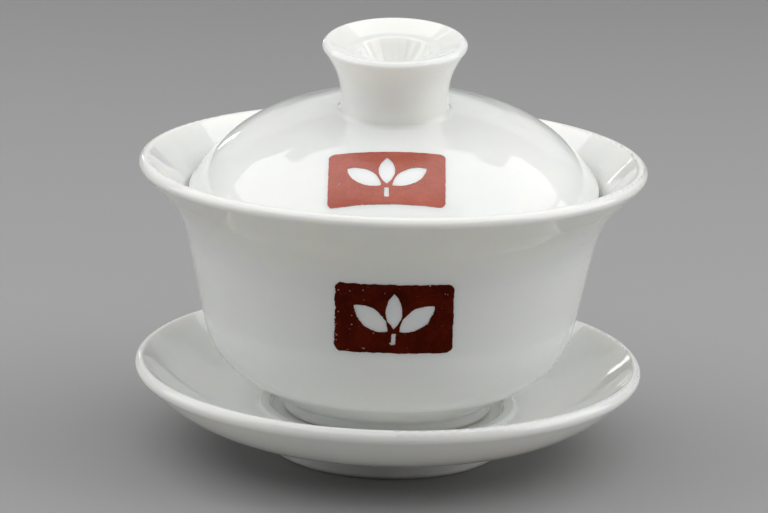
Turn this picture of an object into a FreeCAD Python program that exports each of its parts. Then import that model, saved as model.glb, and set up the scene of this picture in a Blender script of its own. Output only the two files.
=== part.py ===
import FreeCAD, Part

import math
import os

import Sketcher

# A gaiwan: a porcelain tea bowl that stands in the well of a deep saucer and carries a loose
# domed lid with a hollow, flared knob. Everything is turned about the Z axis, which is up. The
# origin is the centre of the saucer's foot, on the table. The front, with the two red seals, is -Y.
# The lid leans towards the front and a little to the left, with its edge on the flare of the bowl.

# Driving dimensions: millimetres and degrees. Each line is an alias and its value. Radii and
# heights are those of profile corners before the corners are rounded by a "_round".
SIZES = [
    # saucer, heights above the table
    ("saucer_foot_radius", 23.4), ("saucer_foot_inner", 20.2), ("saucer_foot_round", 0.8),
    ("saucer_recess_height", 4.8), ("saucer_recess_round", 1.2),
    ("saucer_base_height", 5.4), ("saucer_base_round", 1.0),
    ("saucer_under_radius", 40.6), ("saucer_under_height", 6.3), ("saucer_under_round", 29.0),
    ("saucer_rim_radius", 51.2), ("saucer_rim_height", 16.9), ("saucer_rim_round", 1.6),
    ("saucer_lip_radius", 49.5), ("saucer_lip_height", 18.8), ("saucer_lip_round", 0.75),
    ("saucer_top_radius", 39.6), ("saucer_top_height", 8.7), ("saucer_top_round", 26.5),
    ("well_bead_outer", 26.2), ("well_bead_inner", 23.2), ("well_bead_height", 9.2),
    ("well_bead_round", 0.5), ("well_top_height", 8.4), ("well_height", 8.1),
    # bowl, heights above the bottom of its foot
    ("bowl_foot_radius", 20.8), ("bowl_foot_inner", 17.6), ("bowl_foot_round", 0.7),
    ("bowl_recess_height", 3.0), ("bowl_recess_round", 1.0),
    ("bowl_base_radius", 21.0), ("bowl_base_height", 2.6), ("bowl_base_round", 1.0),
    ("belly_radius", 35.65), ("belly_height", 11.4), ("belly_round", 16.7),
    ("neck_radius", 41.6), ("neck_height", 40.8), ("neck_round", 20.8),
    ("rim_radius", 50.7), ("rim_height", 50.0),
    ("lip_radius", 48.9), ("lip_height", 51.8), ("lip_round", 1.15),
    ("inner_neck_radius", 39.2), ("inner_neck_height", 41.9), ("inner_neck_round", 23.2),
    ("inner_belly_radius", 33.8), ("inner_belly_height", 12.9), ("inner_belly_round", 14.0),
    ("inner_floor_radius", 19.6), ("inner_floor_height", 6.2), ("inner_floor_round", 9.0),
    # lid and knob, heights above the plane of the lid's edge
    ("lid_radius", 41.7), ("lid_inner", 38.7), ("lid_edge_round", 0.95),
    ("crown_radius", 33.8), ("crown_height", 10.7), ("crown_round", 26.0),
    ("cap_radius", 19.0), ("cap_height", 16.1), ("cap_round", 45.0),
    ("inner_crown_radius", 32.3), ("inner_crown_height", 8.65), ("inner_crown_round", 23.6),
    ("inner_cap_radius", 18.6), ("inner_cap_height", 13.65), ("inner_cap_round", 42.0),
    ("inner_top_radius", 9.0), ("inner_top_height", 15.4), ("inner_top_round", 30.0),
    ("knob_base", 10.8), ("knob_base_height", 17.6), ("knob_base_round", 1.2),
    ("knob_waist", 10.2), ("knob_waist_height", 24.2), ("knob_waist_round", 16.0),
    ("knob_rim", 14.5), ("knob_rim_height", 31.1), ("knob_lip", 13.3), ("knob_height", 32.1),
    ("knob_lip_round", 0.75),
    ("knob_step", 9.2), ("knob_step_height", 30.2), ("knob_step_round", 1.2),
    ("knob_ledge", 7.2), ("knob_ledge_height", 30.05), ("knob_ledge_round", 0.7),
    ("knob_well", 3.0), ("knob_well_height", 23.6), ("knob_well_round", 2.2),
    # where the lid's edge lies, how far it leans, and how far from the front it leans to the left
    ("lid_seat_aside", 0.2), ("lid_seat_back", 2.8), ("lid_seat_height", 51.7),
    ("lid_lean", 8.1), ("lid_lean_aside", 7.0),
    # red seals, fired on as thin layers: a rounded plate with a tea sprig left out of it
    ("print_thickness", 0.12), ("print_reach", 60.0),
    ("seal_half_width", 11.2), ("seal_half_height", 7.1), ("seal_round", 1.2),
    ("sprig_node", 2.6), ("stem_half_width", 0.45), ("stem_foot", 5.4),
    ("bud_tip", 5.3), ("bud_round", 5.2),
    ("leaf_base", 1.1), ("leaf_tip_out", 7.6), ("leaf_tip_up", 2.6), ("leaf_round", 5.4),
    ("bowl_seal_shift", 0.9), ("bowl_seal_height", 29.1),
    ("lid_seal_shift", -1.2), ("lid_seal_distance", 21.0), ("lid_seal_lean", -70.0),
]
VALUES = dict(SIZES)

# The corners of each turned profile: radius, height, and the radius that rounds the corner.
SAUCER = [
    ("0", "saucer_recess_height", None),
    ("saucer_foot_inner", "saucer_recess_height", "saucer_recess_round"),
    ("saucer_foot_inner", "0", "saucer_foot_round"),
    ("saucer_foot_radius", "0", "saucer_foot_round"),
    ("saucer_foot_radius", "saucer_base_height", "saucer_base_round"),
    ("saucer_under_radius", "saucer_under_height", "saucer_under_round"),
    ("saucer_rim_radius", "saucer_rim_height", "saucer_rim_round"),
    ("saucer_lip_radius", "saucer_lip_height", "saucer_lip_round"),
    ("saucer_top_radius", "saucer_top_height", "saucer_top_round"),
    ("well_bead_outer", "well_top_height", "well_bead_round"),
    ("well_bead_outer - well_bead_round", "well_bead_height", "well_bead_round"),
    ("well_bead_inner + well_bead_round", "well_bead_height", "well_bead_round"),
    ("well_bead_inner", "well_height", "well_bead_round"),
    ("0", "well_height", None),
]
BOWL = [
    ("0", "bowl_recess_height", None),
    ("bowl_foot_inner", "bowl_recess_height", "bowl_recess_round"),
    ("bowl_foot_inner", "0", "bowl_foot_round"),
    ("bowl_foot_radius", "0", "bowl_foot_round"),
    ("bowl_base_radius", "bowl_base_height", "bowl_base_round"),
    ("belly_radius", "belly_height", "belly_round"),
    ("neck_radius", "neck_height", "neck_round"),
    ("rim_radius", "rim_height", "lip_round"),
    ("lip_radius", "lip_height", "lip_round"),
    ("inner_neck_radius", "inner_neck_height", "inner_neck_round"),
    ("inner_belly_radius", "inner_belly_height", "inner_belly_round"),
    ("inner_floor_radius", "inner_floor_height", "inner_floor_round"),
    ("0", "inner_floor_height", None),
]
LID = [
    ("0", "inner_top_height", None),
    ("inner_top_radius", "inner_top_height", "inner_top_round"),
    ("inner_cap_radius", "inner_cap_height", "inner_cap_round"),
    ("inner_crown_radius", "inner_crown_height", "inner_crown_round"),
    ("lid_inner", "0", "lid_edge_round"),
    ("lid_radius", "0", "lid_edge_round"),
    ("crown_radius", "crown_height", "crown_round"),
    ("cap_radius", "cap_height", "cap_round"),
    ("knob_base", "knob_base_height", "knob_base_round"),
    ("knob_waist", "knob_waist_height", "knob_waist_round"),
    ("knob_rim", "knob_rim_height", "knob_lip_round"),
    ("knob_lip", "knob_height", "knob_lip_round"),
    ("knob_step", "knob_step_height", "knob_step_round"),
    ("knob_ledge", "knob_ledge_height", "knob_ledge_round"),
    ("knob_well", "knob_well_height", "knob_well_round"),
    ("0", "knob_well_height", None),
]
# Thin skins over the wall of the bowl and the dome of the lid, from which the seals are taken.
BOWL_SKIN = [
    ("belly_radius", "belly_height", None),
    ("belly_radius + print_thickness", "belly_height", None),
    ("neck_radius + print_thickness", "neck_height", "neck_round"),
    ("rim_radius + print_thickness", "rim_height", None),
    ("rim_radius", "rim_height", None),
    ("neck_radius", "neck_height", "neck_round"),
]
LID_SKIN = [
    ("lid_radius", "0", None),
    ("lid_radius", "print_thickness", None),
    ("crown_radius", "crown_height + print_thickness", "crown_round"),
    ("cap_radius", "cap_height + print_thickness", "cap_round"),
    ("knob_base", "knob_base_height + print_thickness", None),
    ("knob_base", "knob_base_height", None),
    ("cap_radius", "cap_height", "cap_round"),
    ("crown_radius", "crown_height", "crown_round"),
]
# The seal, seen from the front: across, up, and the radius that rounds the corner.
SEAL_PLATE = [
    ("- seal_half_width", "- seal_half_height", "seal_round"),
    ("seal_half_width", "- seal_half_height", "seal_round"),
    ("seal_half_width", "seal_half_height", "seal_round"),
    ("- seal_half_width", "seal_half_height", "seal_round"),
]
STEM = [
    ("- stem_half_width", "- stem_foot", None),
    ("stem_half_width", "- stem_foot", None),
    ("stem_half_width", "- sprig_node - stem_half_width", None),
    ("- stem_half_width", "- sprig_node - stem_half_width", None),
]
# A bud and two leaves: base across and up, tip across and up, and the radius of both edges.
LEAVES = [
    ("0", "- sprig_node + stem_half_width", "0", "bud_tip", "bud_round"),
    ("leaf_base", "- sprig_node", "leaf_tip_out", "leaf_tip_up", "leaf_round"),
    ("- leaf_base", "- sprig_node", "- leaf_tip_out", "leaf_tip_up", "leaf_round"),
]
# How a sketch names its origin, its two axes and the ends of a line, and the least length it holds.
ORIGIN = (-1, 1)
ACROSS_AXIS = -1
UP_AXIS = -2
START = 1
END = 2
NO_LENGTH = 1e-9
FULL_TURN = 360


def write_sheet(doc):
    """Put every driving dimension in the sheet, one aliased cell each."""
    sheet = doc.addObject("Spreadsheet::Sheet", "Sizes")
    for row, (alias, value) in enumerate(SIZES, start=1):
        sheet.set(f"A{row}", alias)
        sheet.set(f"B{row}", str(value))
        sheet.setAlias(f"B{row}", alias)


def number(text):
    """The value of a sum of aliases, such as "rim_radius - wall"."""
    total = 0.0
    sign = 1.0
    for word in text.split():
        if word in "+-":
            sign = -1.0 if word == "-" else 1.0
        else:
            total += sign * VALUES.get(word, 0.0)
            sign = 1.0
    return total


def expression(text, flipped=False):
    """The same sum, or its negative, as an expression on the sheet's cells."""
    words = [f"Sizes.{word}" if word in VALUES else word for word in text.split()]
    joined = " ".join(words)
    return f"-({joined})" if flipped else joined


def origin_feature(body, role):
    """The plane or axis of a body's own origin that has this role."""
    return next(item for item in body.Origin.OriginFeatures if item.Role == role)


def new_body(doc, name):
    """A body with an empty sketch on its own XZ plane: across is X, up is Z."""
    body = doc.addObject("PartDesign::Body", name)
    body.Label = name
    sketch = body.newObject("Sketcher::SketchObject", f"{name}_profile")
    sketch.AttachmentSupport = [(origin_feature(body, "XZ_Plane"), "")]
    sketch.MapMode = "FlatFace"
    return body, sketch


def bind(sketch, kind, *where, text):
    """Add a dimension that is read from the sheet."""
    value = number(text)
    flipped = value < 0
    if flipped and len(where) == 4:
        where = where[2:] + where[:2]
    index = sketch.addConstraint(Sketcher.Constraint(kind, *where, abs(value)))
    sketch.setExpression(f"Constraints[{index}]", expression(text, flipped))


def pin_point(sketch, geometry, end, across, up):
    """Hold a point at its two coordinates."""
    for kind, axis, text in (("DistanceX", UP_AXIS, across), ("DistanceY", ACROSS_AXIS, up)):
        if abs(number(text)) < NO_LENGTH:
            sketch.addConstraint(Sketcher.Constraint("PointOnObject", geometry, end, axis))
        else:
            bind(sketch, kind, *ORIGIN, geometry, end, text=text)


def vector(pair):
    return FreeCAD.Vector(pair[0], pair[1], 0)


def rounding(corner, before, after, radius):
    """Where a rounded corner starts and ends, and the arc between, counter-clockwise or not."""
    back = (before - corner).normalize()
    ahead = (after - corner).normalize()
    half_angle = back.getAngle(ahead) / 2
    reach = radius / math.tan(half_angle)
    centre = corner + (back + ahead).normalize() * (radius / math.sin(half_angle))
    entry = corner + back * reach
    leave = corner + ahead * reach
    counter_clockwise = back.cross(ahead).z < 0
    first, last = (entry, leave) if counter_clockwise else (leave, entry)
    first_angle = math.atan2(first.y - centre.y, first.x - centre.x)
    last_angle = math.atan2(last.y - centre.y, last.x - centre.x)
    circle = Part.Circle(centre, FreeCAD.Vector(0, 0, 1), radius)
    arc = Part.ArcOfCircle(circle, first_angle, last_angle)
    return entry, leave, arc, counter_clockwise


def draw_outline(sketch, corners):
    """Draw a closed outline of straight lines with rounded corners, bound to the sheet."""
    points = [vector((number(across), number(up))) for across, up, _ in corners]
    count = len(corners)
    joints = []
    for index, (point, (_, _, radius)) in enumerate(zip(points, corners)):
        before = points[index - 1]
        after = points[(index + 1) % count]
        if radius:
            joints.append(rounding(point, before, after, number(radius)))
        else:
            joints.append((point, point, None, None))
    lines = []
    for index in range(count):
        leave = joints[index][1]
        entry = joints[(index + 1) % count][0]
        lines.append(sketch.addGeometry(Part.LineSegment(leave, entry), False))
    for index, (across, up, radius) in enumerate(corners):
        line_in = lines[index - 1]
        line_out = lines[index]
        if not radius:
            sketch.addConstraint(Sketcher.Constraint("Coincident", line_in, END, line_out, START))
            pin_point(sketch, line_out, START, across, up)
            continue
        _, _, arc, counter_clockwise = joints[index]
        arc_index = sketch.addGeometry(arc, False)
        first, last = (START, END) if counter_clockwise else (END, START)
        sketch.addConstraint(Sketcher.Constraint("Tangent", line_in, END, arc_index, first))
        sketch.addConstraint(Sketcher.Constraint("Tangent", arc_index, last, line_out, START))
        bind(sketch, "Radius", arc_index, text=radius)
        corner = sketch.addGeometry(Part.Point(points[index]), True)
        sketch.addConstraint(Sketcher.Constraint("PointOnObject", corner, START, line_in))
        sketch.addConstraint(Sketcher.Constraint("PointOnObject", corner, START, line_out))
        pin_point(sketch, corner, START, across, up)


def draw_leaf(sketch, leaf):
    """Draw a pointed leaf: two equal arcs from its base to its tip."""
    base_across, base_up, tip_across, tip_up, radius = leaf
    base = vector((number(base_across), number(base_up)))
    tip = vector((number(tip_across), number(tip_up)))
    chord = tip - base
    side = FreeCAD.Vector(-chord.y, chord.x, 0).normalize()
    size = number(radius)
    rise = math.sqrt(size ** 2 - (chord.Length / 2) ** 2)
    middle = (base + tip) * 0.5
    arcs = []
    for sign in (1, -1):
        centre = middle - side * (sign * rise)
        ends = (tip, base) if sign > 0 else (base, tip)
        angles = [math.atan2(end.y - centre.y, end.x - centre.x) for end in ends]
        circle = Part.Circle(centre, FreeCAD.Vector(0, 0, 1), size)
        arcs.append(sketch.addGeometry(Part.ArcOfCircle(circle, *angles), False))
    left, right = arcs
    sketch.addConstraint(Sketcher.Constraint("Coincident", left, END, right, START))
    sketch.addConstraint(Sketcher.Constraint("Coincident", left, START, right, END))
    pin_point(sketch, right, START, base_across, base_up)
    pin_point(sketch, right, END, tip_across, tip_up)
    bind(sketch, "Radius", left, text=radius)
    bind(sketch, "Radius", right, text=radius)


def turned(doc, name, corners):
    """A body turned from a closed profile, a full turn about its Z axis."""
    body, sketch = new_body(doc, name)
    draw_outline(sketch, corners)
    turn = body.newObject("PartDesign::Revolution", f"{name}_turn")
    turn.Profile = sketch
    turn.ReferenceAxis = (sketch, ["V_Axis"])
    turn.Angle = FULL_TURN
    body.Tip = turn
    return body


def seal_stamp(doc, name):
    """A block with the seal's outline, which reaches forwards through the skin it marks."""
    body, sketch = new_body(doc, name)
    draw_outline(sketch, SEAL_PLATE)
    draw_outline(sketch, STEM)
    for leaf in LEAVES:
        draw_leaf(sketch, leaf)
    block = body.newObject("PartDesign::Pad", f"{name}_block")
    block.Profile = sketch
    block.setExpression("Length", "Sizes.print_reach")
    body.Tip = block
    return body


def printed(doc, name, skin, stamp):
    """The part of a skin that a stamp covers, as a sub-part of its own."""
    layer = doc.addObject("Part::Common", name)
    layer.Label = name
    layer.Base = skin
    layer.Tool = stamp
    return layer


def place(item, bindings, aside=0):
    """Bind an object's position to the sheet, and how far it leans to the front if it does.

    It leans about the X axis, or about one that lies aside degrees from it.
    """
    if "Rotation.Angle" in bindings:
        turn = FreeCAD.Rotation(FreeCAD.Vector(0, 0, 1), -aside)
        axis = turn.multVec(FreeCAD.Vector(1, 0, 0))
        item.Placement = FreeCAD.Placement(FreeCAD.Vector(), FreeCAD.Rotation(axis, 1))
    for path, text in bindings.items():
        item.setExpression(f"Placement.{path}", expression(text))


def build(doc):
    """Make every sub-part and return those that are written out."""
    write_sheet(doc)
    doc.recompute()
    saucer = turned(doc, "saucer", SAUCER)
    bowl = turned(doc, "bowl", BOWL)
    lid = turned(doc, "lid", LID)
    bowl_stamp = seal_stamp(doc, "bowl_stamp")
    lid_stamp = seal_stamp(doc, "lid_stamp")
    bowl_print = printed(doc, "bowl_print", turned(doc, "bowl_skin", BOWL_SKIN), bowl_stamp)
    lid_print = printed(doc, "lid_print", turned(doc, "lid_skin", LID_SKIN), lid_stamp)
    doc.recompute()

    for item in (bowl, bowl_print):
        place(item, {"Base.z": "well_height"})
    place(bowl_stamp, {"Base.x": "bowl_seal_shift", "Base.z": "bowl_seal_height"})
    lid_lean = {
        "Base.x": "lid_seat_aside",
        "Base.y": "lid_seat_back",
        "Base.z": "lid_seat_height",
        "Rotation.Angle": "lid_lean",
    }
    for item in (lid, lid_print):
        place(item, lid_lean, number("lid_lean_aside"))
    stamp_lean = {
        "Base.x": "lid_seal_shift",
        "Base.y": "- lid_seal_distance",
        "Rotation.Angle": "lid_seal_lean",
    }
    place(lid_stamp, stamp_lean)
    doc.recompute()
    return [saucer, bowl, bowl_print, lid, lid_print]


def check(doc, parts):
    """Stop if any object failed or any sub-part has no sound solid."""
    for item in doc.Objects:
        if "Invalid" in item.State or "Error" in item.State:
            raise RuntimeError(f"{item.Name} failed: {item.State}")
    for item in parts:
        if item.Shape.isNull() or not item.Shape.isValid() or not item.Shape.Solids:
            raise RuntimeError(f"{item.Label} has no valid solid")


def main():
    doc = FreeCAD.newDocument("gaiwan")
    parts = build(doc)
    check(doc, parts)
    os.makedirs("parts", exist_ok=True)
    for item in parts:
        item.Shape.exportStep(f"parts/{item.Label}.step")
        box = item.Shape.optimalBoundingBox(False)
        size = [round(length, 2) for length in (box.XLength, box.YLength, box.ZLength)]
        print(item.Label, len(item.Shape.Solids), "solid,", round(item.Shape.Volume), "mm3,", size, "mm")


main()
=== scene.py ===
"""The looks of a porcelain gaiwan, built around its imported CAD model.

The saucer, the bowl and the lid are the CAD's own turned shapes, under procedural glazes. The two
red seals are replaced by thin layers of enamel with worn, ragged edges. Everything is in metres
in the row frame: Z is up, the front with the seals is -Y.
"""

import math
import random

import bpy
from mathutils import Matrix, Vector, noise
from mathutils.bvhtree import BVHTree


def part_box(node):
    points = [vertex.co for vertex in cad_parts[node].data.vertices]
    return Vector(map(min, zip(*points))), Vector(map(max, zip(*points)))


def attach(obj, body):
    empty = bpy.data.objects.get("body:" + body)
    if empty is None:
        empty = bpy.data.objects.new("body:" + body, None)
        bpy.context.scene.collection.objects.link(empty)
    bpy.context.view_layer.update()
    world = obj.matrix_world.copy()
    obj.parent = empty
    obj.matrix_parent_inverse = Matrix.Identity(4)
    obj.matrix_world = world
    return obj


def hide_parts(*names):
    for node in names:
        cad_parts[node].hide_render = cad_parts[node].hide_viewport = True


MM = 0.001
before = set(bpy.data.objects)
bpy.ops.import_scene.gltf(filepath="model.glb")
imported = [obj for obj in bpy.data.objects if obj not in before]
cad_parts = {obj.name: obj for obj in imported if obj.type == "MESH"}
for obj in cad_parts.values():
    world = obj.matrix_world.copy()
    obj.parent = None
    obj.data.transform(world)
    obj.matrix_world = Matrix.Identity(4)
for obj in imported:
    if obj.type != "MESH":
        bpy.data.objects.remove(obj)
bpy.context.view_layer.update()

# How the lid rests: it leans towards the front and a little to the left, and the centre of its edge
# lies behind the axis.
LID_SEAT = Vector((0.2, 2.8, 51.7)) * MM
LID_LEAN = math.radians(8.1)
LID_LEAN_ASIDE = math.radians(7.0)
LEAN_AXIS = Vector((math.cos(LID_LEAN_ASIDE), -math.sin(LID_LEAN_ASIDE), 0.0))
LID_FRAME = Matrix.Translation(LID_SEAT) @ Matrix.Rotation(LID_LEAN, 4, LEAN_AXIS)

# The seals: a rounded plate of enamel with a tea sprig left out of it, in millimetres.
SEAL_HALF_WIDTH = 11.2
SEAL_HALF_HEIGHT = 7.1
SEAL_ROUND = 1.2
STEM_HALF_WIDTH = 0.45
STEM_FOOT = -5.4
SPRIG_NODE = -2.6
BUD = ((0.0, -2.15), (0.0, 5.3), 5.2)
LEAVES = [((side * 1.1, SPRIG_NODE), (side * 7.6, 2.6), 5.4) for side in (-1, 1)]
# The grid it is drawn on, how far that reaches past the plate, and how far the layer lies above and
# below the glaze.
SEAL_STEP = 0.14
SEAL_MARGIN = 0.42
ENAMEL_TOP = 0.085
ENAMEL_SUNK = 0.02
# Past this depth outside the plate the edge's raggedness no longer matters. A pinhole matters only
# this near its centre.
RAGGED_REACH = 0.5
PINHOLE_REACH = 0.6
PINHOLE_RADII = (0.04, 0.16)
PINHOLE_CROWDING = 3.5
SHARP_EDGE = math.radians(35)
# How each seal is worn: a seed, how ragged its edge is, and how many pinholes it has.
BOWL_WEAR = (7, 1.0, 90)
LID_WEAR = (19, 0.45, 20)
BOWL_SEAL_CENTRE = Vector((0.9, 0.0, 37.2)) * MM
LID_SEAL_CENTRE = Vector((-1.2, -21.0, 0.0)) * MM
LID_SEAL_LEAN = math.radians(-70.0)
# The rays that find the wall and the dome: how many, the radii on the dome and how high they start.
# The stamp's place on the dome is then found by halving a reach, and slopes are taken over a step.
WALL_SAMPLES = 60
DOME_SAMPLES = 120
DOME_INNER = 13 * MM
DOME_OUTER = 38 * MM
RAY_HEIGHT = 0.1
STAMP_REACH = 40 * MM
HALVINGS = 30
SLOPE_STEP = 0.3 * MM

# The photograph's camera.
CAMERA_PLACE = Vector((0.0, -685.4, 219.8)) * MM
CAMERA_PITCH = math.radians(14.773)
CAMERA_YAW = math.radians(0.114)
CAMERA_ROLL = math.radians(1.594)
CAMERA_LENS = 166.86
CAMERA_SENSOR = 36.0
CAMERA_NEAREST = 0.01

# The colour sockets of a Mix node, whose names it shares with its number sockets.
MIX_FIRST = 6
MIX_SECOND = 7
MIX_RESULT = 2


def colour(red, green, blue):
    return (red, green, blue, 1.0)


WHITE_COOL = colour(0.85, 0.865, 0.85)
WHITE_WARM = colour(0.88, 0.88, 0.85)
WHITE_GREY = colour(0.75, 0.76, 0.74)
# The lip's colour: its thinner glaze, with painted light added.
LIT_LIP_WHITE = colour(0.90, 0.89, 0.85)
IRON_BROWN = colour(0.11, 0.075, 0.05)
FOOT_TAN = colour(0.62, 0.50, 0.38)
BISCUIT_LIGHT = colour(0.74, 0.71, 0.65)
BISCUIT_DARK = colour(0.58, 0.54, 0.48)
# One iron-red enamel in two copies. The bowl seal's colours are painted dark, as painted shade on
# the upright wall. The lid seal's colours are painted light, as painted light on the dome that
# faces up.
SHADED_BOWL_RED_DEEP = colour(0.050, 0.0035, 0.0005)
SHADED_BOWL_RED_LIGHT = colour(0.095, 0.008, 0.0015)
LIT_LID_RED_DEEP = colour(0.36, 0.072, 0.042)
LIT_LID_RED_LIGHT = colour(0.44, 0.098, 0.060)
FLOOR_COLOUR = colour(0.33, 0.33, 0.33)
# Refractive indices, and how the porcelain under the glaze scatters light.
GLAZE_INDEX = 1.52
MATT_INDEX = 1.1
TRANSLUCENCY = 0.5
SCATTER_SHARES = (1.0, 0.88, 0.70)
SCATTER_DEPTH = 3.0 * MM

# The turned pieces: how far up from its lowest point each is unglazed, in millimetres, and where
# its pattern starts. The lid is glazed all over.
PORCELAIN = {
    "saucer": (0.5, (3.1, 8.2, 1.7)),
    "bowl": (0.5, (41.0, 5.5, 9.3)),
    "lid": (-1.0, (77.7, 21.4, 3.9)),
}

# The light tent. Each overhead panel: left, right, front and back edges as shares of the ceiling's
# height, and its radiance.
CEILING_HEIGHT = 0.70
CEILING = {
    "top_left": (-1.40, -0.46, -0.10, 0.86, 1.75),
    "top_middle": (-0.46, 0.47, -0.12, 0.60, 1.6),
    "top_right": (0.47, 1.50, -0.12, 0.84, 1.7),
    "front_left": (-1.40, -0.46, -0.70, -0.10, 1.7),
    "front_middle": (-0.46, 0.47, -0.70, -0.12, 0.7),
    "front_right": (0.47, 1.50, -0.70, -0.12, 2.0),
    "front_far": (-0.80, 0.80, -1.50, -0.70, 1.3),
}
# The upright panels: where each stands, its width, height and radiance.
PANELS = {
    "side_left": ((-0.80, 0.0, 0.26), 0.80, 0.42, 1.9),
    "side_right": ((0.80, 0.0, 0.26), 0.80, 0.42, 2.4),
    "rear_left": ((-0.36, 1.0, 0.20), 0.05, 0.14, 3.0),
    "rear_glow": ((0.0, 1.3, 0.55), 1.60, 0.50, 0.3),
}
PANEL_AIM = (0.0, 0.0, 0.05)
FLOOR_HALF = 4.0
WORLD_STRENGTH = 0.06


class Graph:
    """A material's node tree, with short calls to add and join nodes."""

    def __init__(self, name):
        self.material = bpy.data.materials.new(name)
        self.material.use_nodes = True
        self.tree = self.material.node_tree
        self.shader = self.tree.nodes["Principled BSDF"]
        place = self.add("ShaderNodeTexCoord").outputs["Object"]
        self.place = self.add("ShaderNodeVectorMath", operation="SCALE", Vector=place, Scale=1 / MM)
        self.place = self.place.outputs[0]

    def add(self, kind, operation=None, **inputs):
        """A node. Inputs are numbers, colours or other nodes' outputs, by socket name."""
        node = self.tree.nodes.new(kind)
        if operation:
            node.operation = operation
        for name, value in inputs.items():
            self.put(node.inputs[name.replace("_", " ")], value)
        return node

    def put(self, socket, value):
        if isinstance(value, bpy.types.NodeSocket):
            self.tree.links.new(value, socket)
        else:
            socket.default_value = value

    def math(self, operation, first, second=0.0, third=None, clamp=False):
        node = self.tree.nodes.new("ShaderNodeMath")
        node.operation = operation
        node.use_clamp = clamp
        self.put(node.inputs[0], first)
        self.put(node.inputs[1], second)
        if third is not None:
            self.put(node.inputs[2], third)
        return node.outputs[0]

    def noise(self, size, detail=2.0, roughness=0.5, offset=(0.0, 0.0, 0.0)):
        """Cloudy noise, 0 to 1, whose features are about size millimetres across."""
        moved = self.add("ShaderNodeVectorMath", "ADD", Vector=self.place)
        moved.inputs[1].default_value = offset
        node = self.add("ShaderNodeTexNoise", Vector=moved.outputs[0], Scale=1 / size)
        node.inputs["Detail"].default_value = detail
        node.inputs["Roughness"].default_value = roughness
        return node.outputs["Fac"]

    def ramp(self, value, low, high, from_value=0.0, to_value=1.0):
        """value from low to high becomes from_value to to_value, smoothly."""
        node = self.tree.nodes.new("ShaderNodeMapRange")
        node.interpolation_type = "SMOOTHSTEP"
        numbers = {"Value": value, "From Min": low, "From Max": high}
        numbers.update({"To Min": from_value, "To Max": to_value})
        for name, number in numbers.items():
            self.put(node.inputs[name], number)
        return node.outputs["Result"]

    def mix(self, share, first, second):
        """One colour over another by a share."""
        node = self.tree.nodes.new("ShaderNodeMix")
        node.data_type = "RGBA"
        self.put(node.inputs["Factor"], share)
        self.put(node.inputs[MIX_FIRST], first)
        self.put(node.inputs[MIX_SECOND], second)
        return node.outputs[MIX_RESULT]

    def specks(self, cell, radius, share, offset):
        """Dots up to radius millimetres in that share of cells of a size, 0 to 1."""
        moved = self.add("ShaderNodeVectorMath", "ADD", Vector=self.place)
        moved.inputs[1].default_value = offset
        voronoi = self.add("ShaderNodeTexVoronoi", Vector=moved.outputs[0], Scale=1 / cell)
        split = self.add("ShaderNodeSeparateColor", Color=voronoi.outputs["Color"])
        size = self.math("MULTIPLY", split.outputs["Green"], radius / cell)
        dot = self.math("SUBTRACT", size, voronoi.outputs["Distance"])
        dot = self.math("MULTIPLY", dot, 3.0 * cell / radius, clamp=True)
        chosen = self.math("LESS_THAN", split.outputs["Red"], share)
        return self.math("MULTIPLY", dot, chosen)


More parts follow.
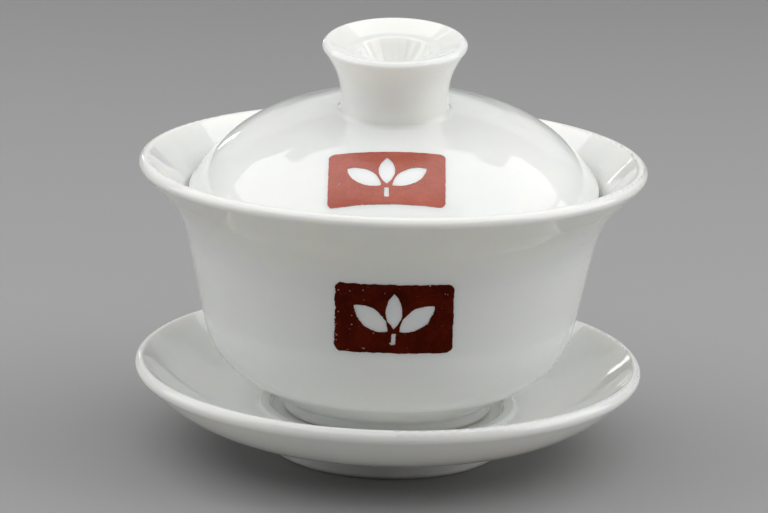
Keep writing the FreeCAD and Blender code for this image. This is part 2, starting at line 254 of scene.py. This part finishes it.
def glaze(name, foot_height, rim_height, offset):
    """White porcelain under a clear gloss glaze.

    The foot below foot_height is bare, and the lip near rim_height is lighter, partly for its
    thinner glaze and partly as painted light. Both are heights in millimetres. offset gives each
    piece its own pattern.
    """
    graph = Graph(name)
    shader = graph.shader
    height = graph.add("ShaderNodeSeparateXYZ", Vector=graph.place).outputs["Z"]

    broad = graph.noise(22.0, 3.0, 0.55, offset)
    fine = graph.noise(3.5, 4.0, 0.6, offset)
    white = graph.mix(graph.ramp(broad, 0.35, 0.7), WHITE_COOL, WHITE_WARM)
    white = graph.mix(graph.math("MULTIPLY", fine, 0.12), white, WHITE_GREY)

    # Partly painted light: the top of each piece is made lighter, and partly this is its thinner
    # glaze.
    lip_wobble = graph.math("MULTIPLY_ADD", graph.noise(9.0, 2.0, 0.5, offset), 1.4, -0.7)
    lip_height = graph.math("ADD", height, lip_wobble)
    lip = graph.ramp(lip_height, rim_height - 2.6, rim_height + 0.2)
    white = graph.mix(graph.math("MULTIPLY", lip, 0.55), white, LIT_LIP_WHITE)

    iron = graph.specks(11.0, 0.32, 0.26, offset)
    dust = graph.specks(5.0, 0.14, 0.30, Vector(offset) * 1.7)
    white = graph.mix(graph.math("MULTIPLY", iron, 0.75), white, IRON_BROWN)
    white = graph.mix(graph.math("MULTIPLY", dust, 0.5), white, IRON_BROWN)

    foot_wobble = graph.math("MULTIPLY_ADD", graph.noise(2.2, 3.0, 0.6, offset), 0.5, -0.25)
    foot_line = graph.math("ADD", height, foot_wobble)
    bare = graph.ramp(foot_line, foot_height - 0.08, foot_height + 0.08, 1.0, 0.0)
    edge = graph.ramp(foot_line, foot_height, foot_height + 0.55, 1.0, 0.0)
    grain = graph.noise(0.35, 3.0, 0.7, offset)
    biscuit = graph.mix(grain, BISCUIT_LIGHT, BISCUIT_DARK)
    white = graph.mix(graph.math("MULTIPLY", edge, 0.5), white, FOOT_TAN)
    graph.put(shader.inputs["Base Color"], graph.mix(bare, white, biscuit))

    gloss = graph.math("MULTIPLY_ADD", graph.noise(6.0, 3.0, 0.6, offset), 0.05, 0.03)
    gloss = graph.math("MULTIPLY_ADD", iron, 0.25, gloss)
    bare_roughness = graph.math("MULTIPLY", bare, 0.8)
    graph.put(shader.inputs["Roughness"], graph.math("MAXIMUM", gloss, bare_roughness))

    flow = graph.noise(14.0, 2.0, 0.45, offset)
    peel = graph.noise(1.3, 2.0, 0.5, offset)
    pits = graph.specks(13.0, 0.22, 0.2, Vector(offset) * 0.6)
    relief = graph.math("MULTIPLY_ADD", peel, 0.025, graph.math("MULTIPLY", flow, 0.55))
    relief = graph.math("MULTIPLY_ADD", pits, -0.08, relief)
    relief = graph.math("MULTIPLY_ADD", iron, 0.03, relief)
    rough_grain = graph.math("MULTIPLY", graph.math("MULTIPLY", grain, bare), 0.12)
    relief = graph.math("ADD", relief, rough_grain)
    bump = graph.add("ShaderNodeBump", Height=relief, Strength=0.35, Distance=MM)
    graph.put(shader.inputs["Normal"], bump.outputs["Normal"])

    shader.inputs["IOR"].default_value = GLAZE_INDEX
    shader.inputs["Subsurface Weight"].default_value = TRANSLUCENCY
    shader.inputs["Subsurface Radius"].default_value = SCATTER_SHARES
    shader.inputs["Subsurface Scale"].default_value = SCATTER_DEPTH
    return graph.material


def enamel(name, deep, light, index):
    """Iron-red overglaze enamel, screen printed: uneven in strength and a little less glossy."""
    graph = Graph(name)
    cloud = graph.noise(4.5, 4.0, 0.65)
    mesh = graph.noise(0.5, 2.0, 0.5)
    strength = graph.math("MULTIPLY_ADD", mesh, 0.35, graph.math("MULTIPLY", cloud, 0.65))
    red = graph.mix(graph.ramp(strength, 0.35, 0.65), deep, light)
    graph.put(graph.shader.inputs["Base Color"], red)
    gloss = graph.math("MULTIPLY_ADD", cloud, 0.22, 0.12)
    graph.put(graph.shader.inputs["Roughness"], gloss)
    relief = graph.math("MULTIPLY_ADD", mesh, 0.02, graph.math("MULTIPLY", cloud, 0.05))
    bump = graph.add("ShaderNodeBump", Height=relief, Strength=0.5, Distance=MM)
    graph.put(graph.shader.inputs["Normal"], bump.outputs["Normal"])
    graph.shader.inputs["IOR"].default_value = index
    return graph.material


def finish_porcelain():
    """Give the three turned pieces their glazes."""
    for node, (bare_height, offset) in PORCELAIN.items():
        low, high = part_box(node)
        foot_height = low.z / MM + bare_height
        material = glaze(f"{node}_glaze", foot_height, high.z / MM, offset)
        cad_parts[node].material_slots[0].material = material


def inside_plate(across, up):
    """How far inside the rounded plate a point is, in millimetres."""
    over = abs(across) - (SEAL_HALF_WIDTH - SEAL_ROUND)
    above = abs(up) - (SEAL_HALF_HEIGHT - SEAL_ROUND)
    outside = math.hypot(max(over, 0.0), max(above, 0.0))
    return SEAL_ROUND - outside - min(max(over, above), 0.0)


def inside_leaf(across, up, leaf):
    """How far inside a leaf, two arcs from its base to its tip, a point is."""
    (base_across, base_up), (tip_across, tip_up), radius = leaf
    middle = ((base_across + tip_across) / 2, (base_up + tip_up) / 2)
    along = (tip_across - base_across, tip_up - base_up)
    length = math.hypot(*along)
    rise = math.sqrt(radius ** 2 - (length / 2) ** 2) / length
    reach = []
    for side in (-1, 1):
        centre = (middle[0] - side * along[1] * rise, middle[1] + side * along[0] * rise)
        reach.append(radius - math.hypot(across - centre[0], up - centre[1]))
    return min(reach)


def inside_stem(across, up):
    below = SPRIG_NODE - STEM_HALF_WIDTH
    return min(STEM_HALF_WIDTH - abs(across), up - STEM_FOOT, below - up)


def wear_marks(seed, count, worn_side):
    """Pinholes in the enamel: across, up and radius, more of them near the worn side."""
    draw = random.Random(seed)
    marks = []
    for _ in range(count):
        inwards = draw.random() ** PINHOLE_CROWDING
        across = worn_side * (SEAL_HALF_WIDTH - inwards * 2 * SEAL_HALF_WIDTH)
        up = draw.uniform(-SEAL_HALF_HEIGHT, SEAL_HALF_HEIGHT)
        marks.append((across, up, draw.uniform(*PINHOLE_RADII)))
    return marks


def ink(across, up, seed, ragged, marks):
    """How far inside the enamel a point is, with ragged edges and pinholes, in millimetres."""
    leaves = [inside_leaf(across, up, leaf) for leaf in (BUD, *LEAVES)]
    reserve = max(inside_stem(across, up), *leaves)
    inside = min(inside_plate(across, up), -reserve)
    if inside < -RAGGED_REACH:
        return inside
    coarse = noise.noise(Vector((across, up, seed)) * 0.9)
    fine = noise.noise(Vector((across, up, seed)) * 3.3)
    inside += ragged * (0.16 * coarse + 0.09 * fine)
    for mark_across, mark_up, radius in marks:
        if max(abs(across - mark_across), abs(up - mark_up)) < PINHOLE_REACH:
            inside = min(inside, math.hypot(across - mark_across, up - mark_up) - radius)
    return inside


def outline_cells(value, half_width, half_height):
    """The part of a plane where value is above 0, as points and faces on a fine grid."""
    columns = round(2 * half_width / SEAL_STEP)
    rows = round(2 * half_height / SEAL_STEP)
    spots = {}
    for column in range(columns + 1):
        for row in range(rows + 1):
            spot = (-half_width + column * SEAL_STEP, -half_height + row * SEAL_STEP)
            spots[column, row] = (*spot, value(*spot))
    points, found, faces = [], {}, []

    def point(key, across, up):
        if key not in found:
            found[key] = len(points)
            points.append((across, up))
        return found[key]

    for column in range(columns):
        for row in range(rows):
            corners = [(column, row), (column + 1, row), (column + 1, row + 1), (column, row + 1)]
            face = []
            for corner, after in zip(corners, corners[1:] + corners[:1]):
                here, there = spots[corner], spots[after]
                if here[2] > 0:
                    face.append(point(corner, here[0], here[1]))
                if (here[2] > 0) != (there[2] > 0):
                    share = here[2] / (here[2] - there[2])
                    across = here[0] + share * (there[0] - here[0])
                    up = here[1] + share * (there[1] - here[1])
                    face.append(point(tuple(sorted((corner, after))), across, up))
            if len(face) > 2:
                faces.append(face)
    return points, faces


def enamel_layer(name, cells, on_surface):
    """A thin closed layer over the cells; on_surface gives a point's place and normal."""
    points, faces = cells
    seats = [on_surface(across * MM, up * MM) for across, up in points]
    verts = [place + normal * (ENAMEL_TOP * MM) for place, normal in seats]
    verts += [place - normal * (ENAMEL_SUNK * MM) for place, normal in seats]
    count = len(points)
    directed = {(a, b) for face in faces for a, b in zip(face, face[1:] + face[:1])}
    walls = [(b, a, a + count, b + count) for a, b in directed if (b, a) not in directed]
    backs = [[corner + count for corner in reversed(face)] for face in faces]
    mesh = bpy.data.meshes.new(name)
    mesh.from_pydata(verts, [], [*faces, *backs, *walls])
    mesh.update()
    mesh.shade_smooth()
    mesh.set_sharp_from_angle(angle=SHARP_EDGE)
    piece = bpy.data.objects.new(name, mesh)
    bpy.context.scene.collection.objects.link(piece)
    return piece


def interpolate(table, value):
    """Linear interpolation in a list of (input, output) with even inputs."""
    first, last = table[0][0], table[-1][0]
    place = (value - first) / (last - first) * (len(table) - 1)
    index = min(max(int(place), 0), len(table) - 2)
    share = place - index
    return table[index][1] * (1 - share) + table[index + 1][1] * share


def slope_at(table, value):
    """The slope of such a list."""
    rise = interpolate(table, value + SLOPE_STEP) - interpolate(table, value - SLOPE_STEP)
    return rise / (2 * SLOPE_STEP)


def surface_tree(node):
    return BVHTree.FromObject(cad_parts[node], bpy.context.evaluated_depsgraph_get())


def bowl_surface():
    """A function from a point of the bowl seal's plane to a place and normal on the wall."""
    tree = surface_tree("bowl")
    reach = (SEAL_HALF_HEIGHT + 1) * MM
    low, high = BOWL_SEAL_CENTRE.z - reach, BOWL_SEAL_CENTRE.z + reach
    table = []
    for index in range(WALL_SAMPLES + 1):
        height = low + (high - low) * index / WALL_SAMPLES
        hit = tree.ray_cast(Vector((0, -1, height)), Vector((0, 1, 0)))[0]
        table.append((height, -hit.y))

    def on_wall(across, up):
        height = BOWL_SEAL_CENTRE.z + up
        radius = interpolate(table, height)
        slope = slope_at(table, height)
        x = BOWL_SEAL_CENTRE.x + across
        place = Vector((x, -math.sqrt(radius ** 2 - x ** 2), height))
        normal = Vector((place.x / radius, place.y / radius, -slope)).normalized()
        return place, normal

    return on_wall


def lid_surface():
    """A function from a point of the lid seal's plane to a place and normal on the dome."""
    tree = surface_tree("lid")
    inverse = LID_FRAME.inverted()
    down = (LID_FRAME.to_3x3() @ Vector((0, 0, -1))).normalized()
    table = []
    for index in range(DOME_SAMPLES + 1):
        radius = DOME_INNER + (DOME_OUTER - DOME_INNER) * index / DOME_SAMPLES
        above = LID_FRAME @ Vector((0, -radius, RAY_HEIGHT))
        table.append((radius, (inverse @ tree.ray_cast(above, down)[0]).z))
    stamp = Matrix.Translation(LID_SEAL_CENTRE) @ Matrix.Rotation(LID_SEAL_LEAN, 4, "X")
    forwards = (stamp.to_3x3() @ Vector((0, -1, 0))).normalized()

    def on_dome(across, up):
        start = stamp @ Vector((across, 0, up))
        near, far = 0.0, STAMP_REACH
        for _ in range(HALVINGS):
            middle = (near + far) / 2
            place = start + forwards * middle
            under = place.z < interpolate(table, math.hypot(place.x, place.y))
            near, far = (middle, far) if under else (near, middle)
        radius = math.hypot(place.x, place.y)
        slope = slope_at(table, radius)
        normal = Vector((-slope * place.x / radius, -slope * place.y / radius, 1)).normalized()
        return LID_FRAME @ place, (LID_FRAME.to_3x3() @ normal).normalized()

    return on_dome


def make_seal(name, node, body, surface, material, wear):
    """Replace a printed node by a layer of enamel, worn most at its left end."""
    seed, ragged, pinholes = wear
    marks = wear_marks(seed, pinholes, -1)

    def value(across, up):
        return ink(across, up, seed, ragged, marks)

    cells = outline_cells(value, SEAL_HALF_WIDTH + SEAL_MARGIN, SEAL_HALF_HEIGHT + SEAL_MARGIN)
    piece = enamel_layer(name, cells, surface)
    piece.data.materials.append(material)
    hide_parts(node)
    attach(piece, body)


def make_seals():
    # Painted light and shade: the bowl's seal gets a darkened copy of the enamel, and the lid's
    # seal gets a lightened one.
    shaded_enamel = enamel("bowl_enamel_painted_shade", SHADED_BOWL_RED_DEEP, SHADED_BOWL_RED_LIGHT, MATT_INDEX)
    lit_enamel = enamel("lid_enamel_painted_light", LIT_LID_RED_DEEP, LIT_LID_RED_LIGHT, GLAZE_INDEX)
    make_seal("bowl_seal", "bowl_print", "bowl", bowl_surface(), shaded_enamel, BOWL_WEAR)
    make_seal("lid_seal", "lid_print", "lid", lid_surface(), lit_enamel, LID_WEAR)


def make_floor():
    """A plain pale floor under the object."""
    half = FLOOR_HALF
    corners = [(-half, -half, 0), (half, -half, 0), (half, half, 0), (-half, half, 0)]
    mesh = bpy.data.meshes.new("floor")
    mesh.from_pydata(corners, [], [(0, 1, 2, 3)])
    floor = bpy.data.objects.new("floor", mesh)
    bpy.context.scene.collection.objects.link(floor)
    graph = Graph("floor_paper")
    graph.shader.inputs["Base Color"].default_value = FLOOR_COLOUR
    graph.shader.inputs["Roughness"].default_value = 0.9
    graph.shader.inputs["Specular IOR Level"].default_value = 0.2
    mesh.materials.append(graph.material)


def softbox(name, place, towards, width, depth, radiance):
    """A rectangular soft light that faces a point and gives the same radiance at any size."""
    data = bpy.data.lights.new(name, "AREA")
    data.shape = "RECTANGLE"
    data.size = width
    data.size_y = depth
    data.energy = radiance * math.pi * width * depth
    light = bpy.data.objects.new(name, data)
    facing = (towards - place).to_track_quat("-Z", "Y").to_matrix().to_4x4()
    light.matrix_world = Matrix.Translation(place) @ facing
    light.visible_camera = False
    bpy.context.scene.collection.objects.link(light)


def make_lights():
    """A soft tent: panels overhead, one at each side and two behind."""
    for name, (left, right, front, back, radiance) in CEILING.items():
        middle = Vector(((left + right) / 2, (front + back) / 2, 1.0)) * CEILING_HEIGHT
        below = middle - Vector((0, 0, 1))
        width = (right - left) * CEILING_HEIGHT
        depth = (back - front) * CEILING_HEIGHT
        softbox(name, middle, below, width, depth, radiance)
    for name, (place, width, height, radiance) in PANELS.items():
        softbox(name, Vector(place), Vector(PANEL_AIM), width, height, radiance)
    world = bpy.data.worlds.new("studio")
    world.use_nodes = True
    world.node_tree.nodes["Background"].inputs["Color"].default_value = colour(1, 1, 1)
    world.node_tree.nodes["Background"].inputs["Strength"].default_value = WORLD_STRENGTH
    bpy.context.scene.world = world


def make_camera():
    """The camera of the photograph."""
    data = bpy.data.cameras.new("camera")
    data.lens = CAMERA_LENS
    data.sensor_width = CAMERA_SENSOR
    data.clip_start = CAMERA_NEAREST
    camera = bpy.data.objects.new("camera", data)
    yaw = Matrix.Rotation(CAMERA_YAW, 4, "Z")
    pitch = Matrix.Rotation(math.pi / 2 - CAMERA_PITCH, 4, "X")
    roll = Matrix.Rotation(CAMERA_ROLL, 4, "Z")
    camera.matrix_world = Matrix.Translation(CAMERA_PLACE) @ (yaw @ pitch) @ roll
    bpy.context.scene.collection.objects.link(camera)
    bpy.context.scene.camera = camera
    bpy.context.scene.view_settings.view_transform = "Standard"


finish_porcelain()
make_seals()
make_floor()
make_lights()
make_camera()
